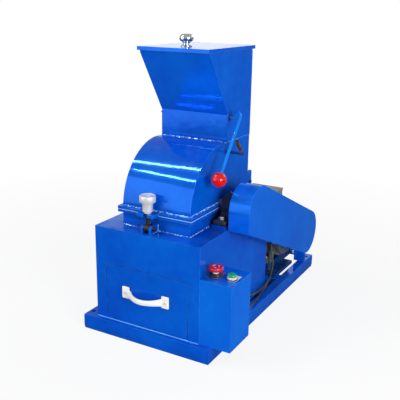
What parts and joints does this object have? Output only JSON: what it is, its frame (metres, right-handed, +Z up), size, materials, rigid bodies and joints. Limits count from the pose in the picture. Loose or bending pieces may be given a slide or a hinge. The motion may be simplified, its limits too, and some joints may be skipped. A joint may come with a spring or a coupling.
{
  "type": "hammer crusher",
  "caption": "Floor-standing hammer crusher: covered hopper with gate lever, drum housing on a cabinet with dust drawer, guarded belt drive, motor and push-button box.",
  "frame": {"origin": "on the floor under the middle of the base frame's footprint", "axes": "+X to the machine's right seen from the drawer, +Y from the drawer towards the motor, +Z up"},
  "size_m": [0.45, 0.7851, 0.807],
  "materials": {
    "blue_paint": "glossy enamel, slightly uneven, with runs at the welds",
    "dark_blue_paint": "glossy enamel in deep shade",
    "bare_steel": "machined, lightly oiled",
    "dark_steel": "hot-rolled and hardened, dull",
    "spring_steel": "brown oxide",
    "cast_black": "satin black casting",
    "knob_chrome": "polished",
    "clamp_white": "satin, almost white",
    "cream_plastic": "moulded, cream white",
    "red_plastic": "polished phenolic red",
    "stop_red": "moulded red",
    "start_green": "moulded green",
    "black_plastic": "moulded black",
    "legend_white": "white plate, bare",
    "motor_grey": "grey machine enamel",
    "box_grey": "warm grey enamel",
    "belt_rubber": "fabric-faced rubber",
    "gasket_fibre": "grey jointing sheet",
    "cable_green": "yellow-green sheath",
    "cable_dark": "dark olive sheath"
  },
  "bodies": {
    "frame": {"base_frame": "blue_paint", "cabinet": "blue_paint", "drawer_runners": "bare_steel", "lower_housing": "blue_paint", "flange_gasket": "gasket_fibre", "sieve": "dark_steel", "upper_housing": "blue_paint", "breaker_plate": "dark_steel", "hopper": "blue_paint", "lid_hinge": "blue_paint", "lid_hinge_pin": "bare_steel", "gate_bushes": "dark_blue_paint", "spring_post": "dark_blue_paint", "return_spring": "spring_steel", "clamp_lugs": "blue_paint", "clamp_pin": "dark_steel", "back_hinge_lugs": "blue_paint", "back_hinge_pin": "dark_blue_paint", "bearing_housings": "cast_black", "bearing_inserts": "bare_steel", "v_belts": "belt_rubber", "belt_guard": "blue_paint", "guard_stays": "blue_paint", "guard_screws": "bare_steel", "motor_bed": "dark_blue_paint", "motor_frame": "motor_grey", "end_shields": "motor_grey", "fan_cover": "motor_grey", "terminal_box": "box_grey", "machine_bolts": "bare_steel", "control_box": "blue_paint", "legend_plates": "legend_white", "stop_collar": "black_plastic", "start_bezel": "cream_plastic", "cable_glands": "black_plastic", "motor_cable": "cable_green", "earth_cable": "cable_dark"},
    "drawer": {"drawer": "blue_paint", "drawer_handle": "cream_plastic", "handle_screws": "bare_steel"},
    "lid": {"hopper_lid": "blue_paint", "lid_knob": "knob_chrome"},
    "gate": {"gate_flap": "bare_steel", "gate_lever": "blue_paint", "lever_ball": "red_plastic"},
    "clamp_bolt": {"swing_bolt": "dark_steel"},
    "clamp_nut": {"clamp_knob": "clamp_white"},
    "rotor": {"rotor_shaft": "bare_steel", "rotor_discs": "dark_steel", "hammer_pins": "bare_steel", "rotor_pulley": "cast_black"},
    "hammer_row_top": {"hammers_top": "dark_steel"},
    "hammer_row_front": {"hammers_front": "dark_steel"},
    "hammer_row_bottom": {"hammers_bottom": "dark_steel"},
    "hammer_row_back": {"hammers_back": "dark_steel"},
    "motor_rotor": {"motor_shaft": "bare_steel", "motor_pulley": "cast_black", "motor_fan": "black_plastic"},
    "stop_button": {"stop_head": "stop_red"},
    "start_button": {"start_cap": "start_green"}
  },
  "joints": [
    {"name": "drawer_slide", "type": "slide", "parent": "frame", "child": "drawer", "axis": [0, -1, 0], "range_m": [0, 0.3]},
    {"name": "lid_hinge", "type": "hinge", "parent": "frame", "child": "lid", "pos_m": [0, 0.0354, 0.769], "axis": [-1, 0, 0], "range_deg": [0, 110]},
    {"name": "gate_hinge", "type": "hinge", "parent": "frame", "child": "gate", "pos_m": [0, -0.11, 0.588], "axis": [1, 0, 0], "range_deg": [-55, 0], "stiffness_Nm_per_rad": 0.35, "springref_deg": 34.38, "deforming": ["return_spring"]},
    {"name": "clamp_swing", "type": "hinge", "parent": "frame", "child": "clamp_bolt", "pos_m": [-0.008, -0.346, 0.321], "axis": [1, 0, 0], "range_deg": [0, 70]},
    {"name": "clamp_lift", "type": "slide", "parent": "clamp_bolt", "child": "clamp_nut", "axis": [0, 0, 1], "range_m": [0, 0.0175]},
    {"name": "rotor_spin", "type": "hinge", "parent": "frame", "child": "rotor", "pos_m": [0, -0.151, 0.353], "axis": [1, 0, 0], "continuous": true},
    {"name": "motor_spin", "type": "hinge", "parent": "frame", "child": "motor_rotor", "pos_m": [0, 0.258, 0.17], "axis": [1, 0, 0], "continuous": true},
    {"name": "hammer_swing_top", "type": "hinge", "parent": "rotor", "child": "hammer_row_top", "pos_m": [0, -0.151, 0.433], "axis": [1, 0, 0], "continuous": true},
    {"name": "hammer_swing_front", "type": "hinge", "parent": "rotor", "child": "hammer_row_front", "pos_m": [0, -0.231, 0.353], "axis": [1, 0, 0], "continuous": true},
    {"name": "hammer_swing_bottom", "type": "hinge", "parent": "rotor", "child": "hammer_row_bottom", "pos_m": [0, -0.151, 0.273], "axis": [1, 0, 0], "continuous": true},
    {"name": "hammer_swing_back", "type": "hinge", "parent": "rotor", "child": "hammer_row_back", "pos_m": [0, -0.071, 0.353], "axis": [1, 0, 0], "continuous": true},
    {"name": "stop_press", "type": "slide", "parent": "frame", "child": "stop_button", "axis": [0, 0, -1], "range_m": [0, 0.004]},
    {"name": "start_press", "type": "slide", "parent": "frame", "child": "start_button", "axis": [0, 0, -1], "range_m": [0, 0.0025], "stiffness_N_per_m": 400, "springref_m": -0.001}
  ],
  "couplings": [
    {"joint": "motor_spin", "follows": "rotor_spin", "ratio": 0.86792},
    {"joint": "clamp_lift", "follows": "clamp_swing", "m_per_rad": 0.0143}
  ]
}
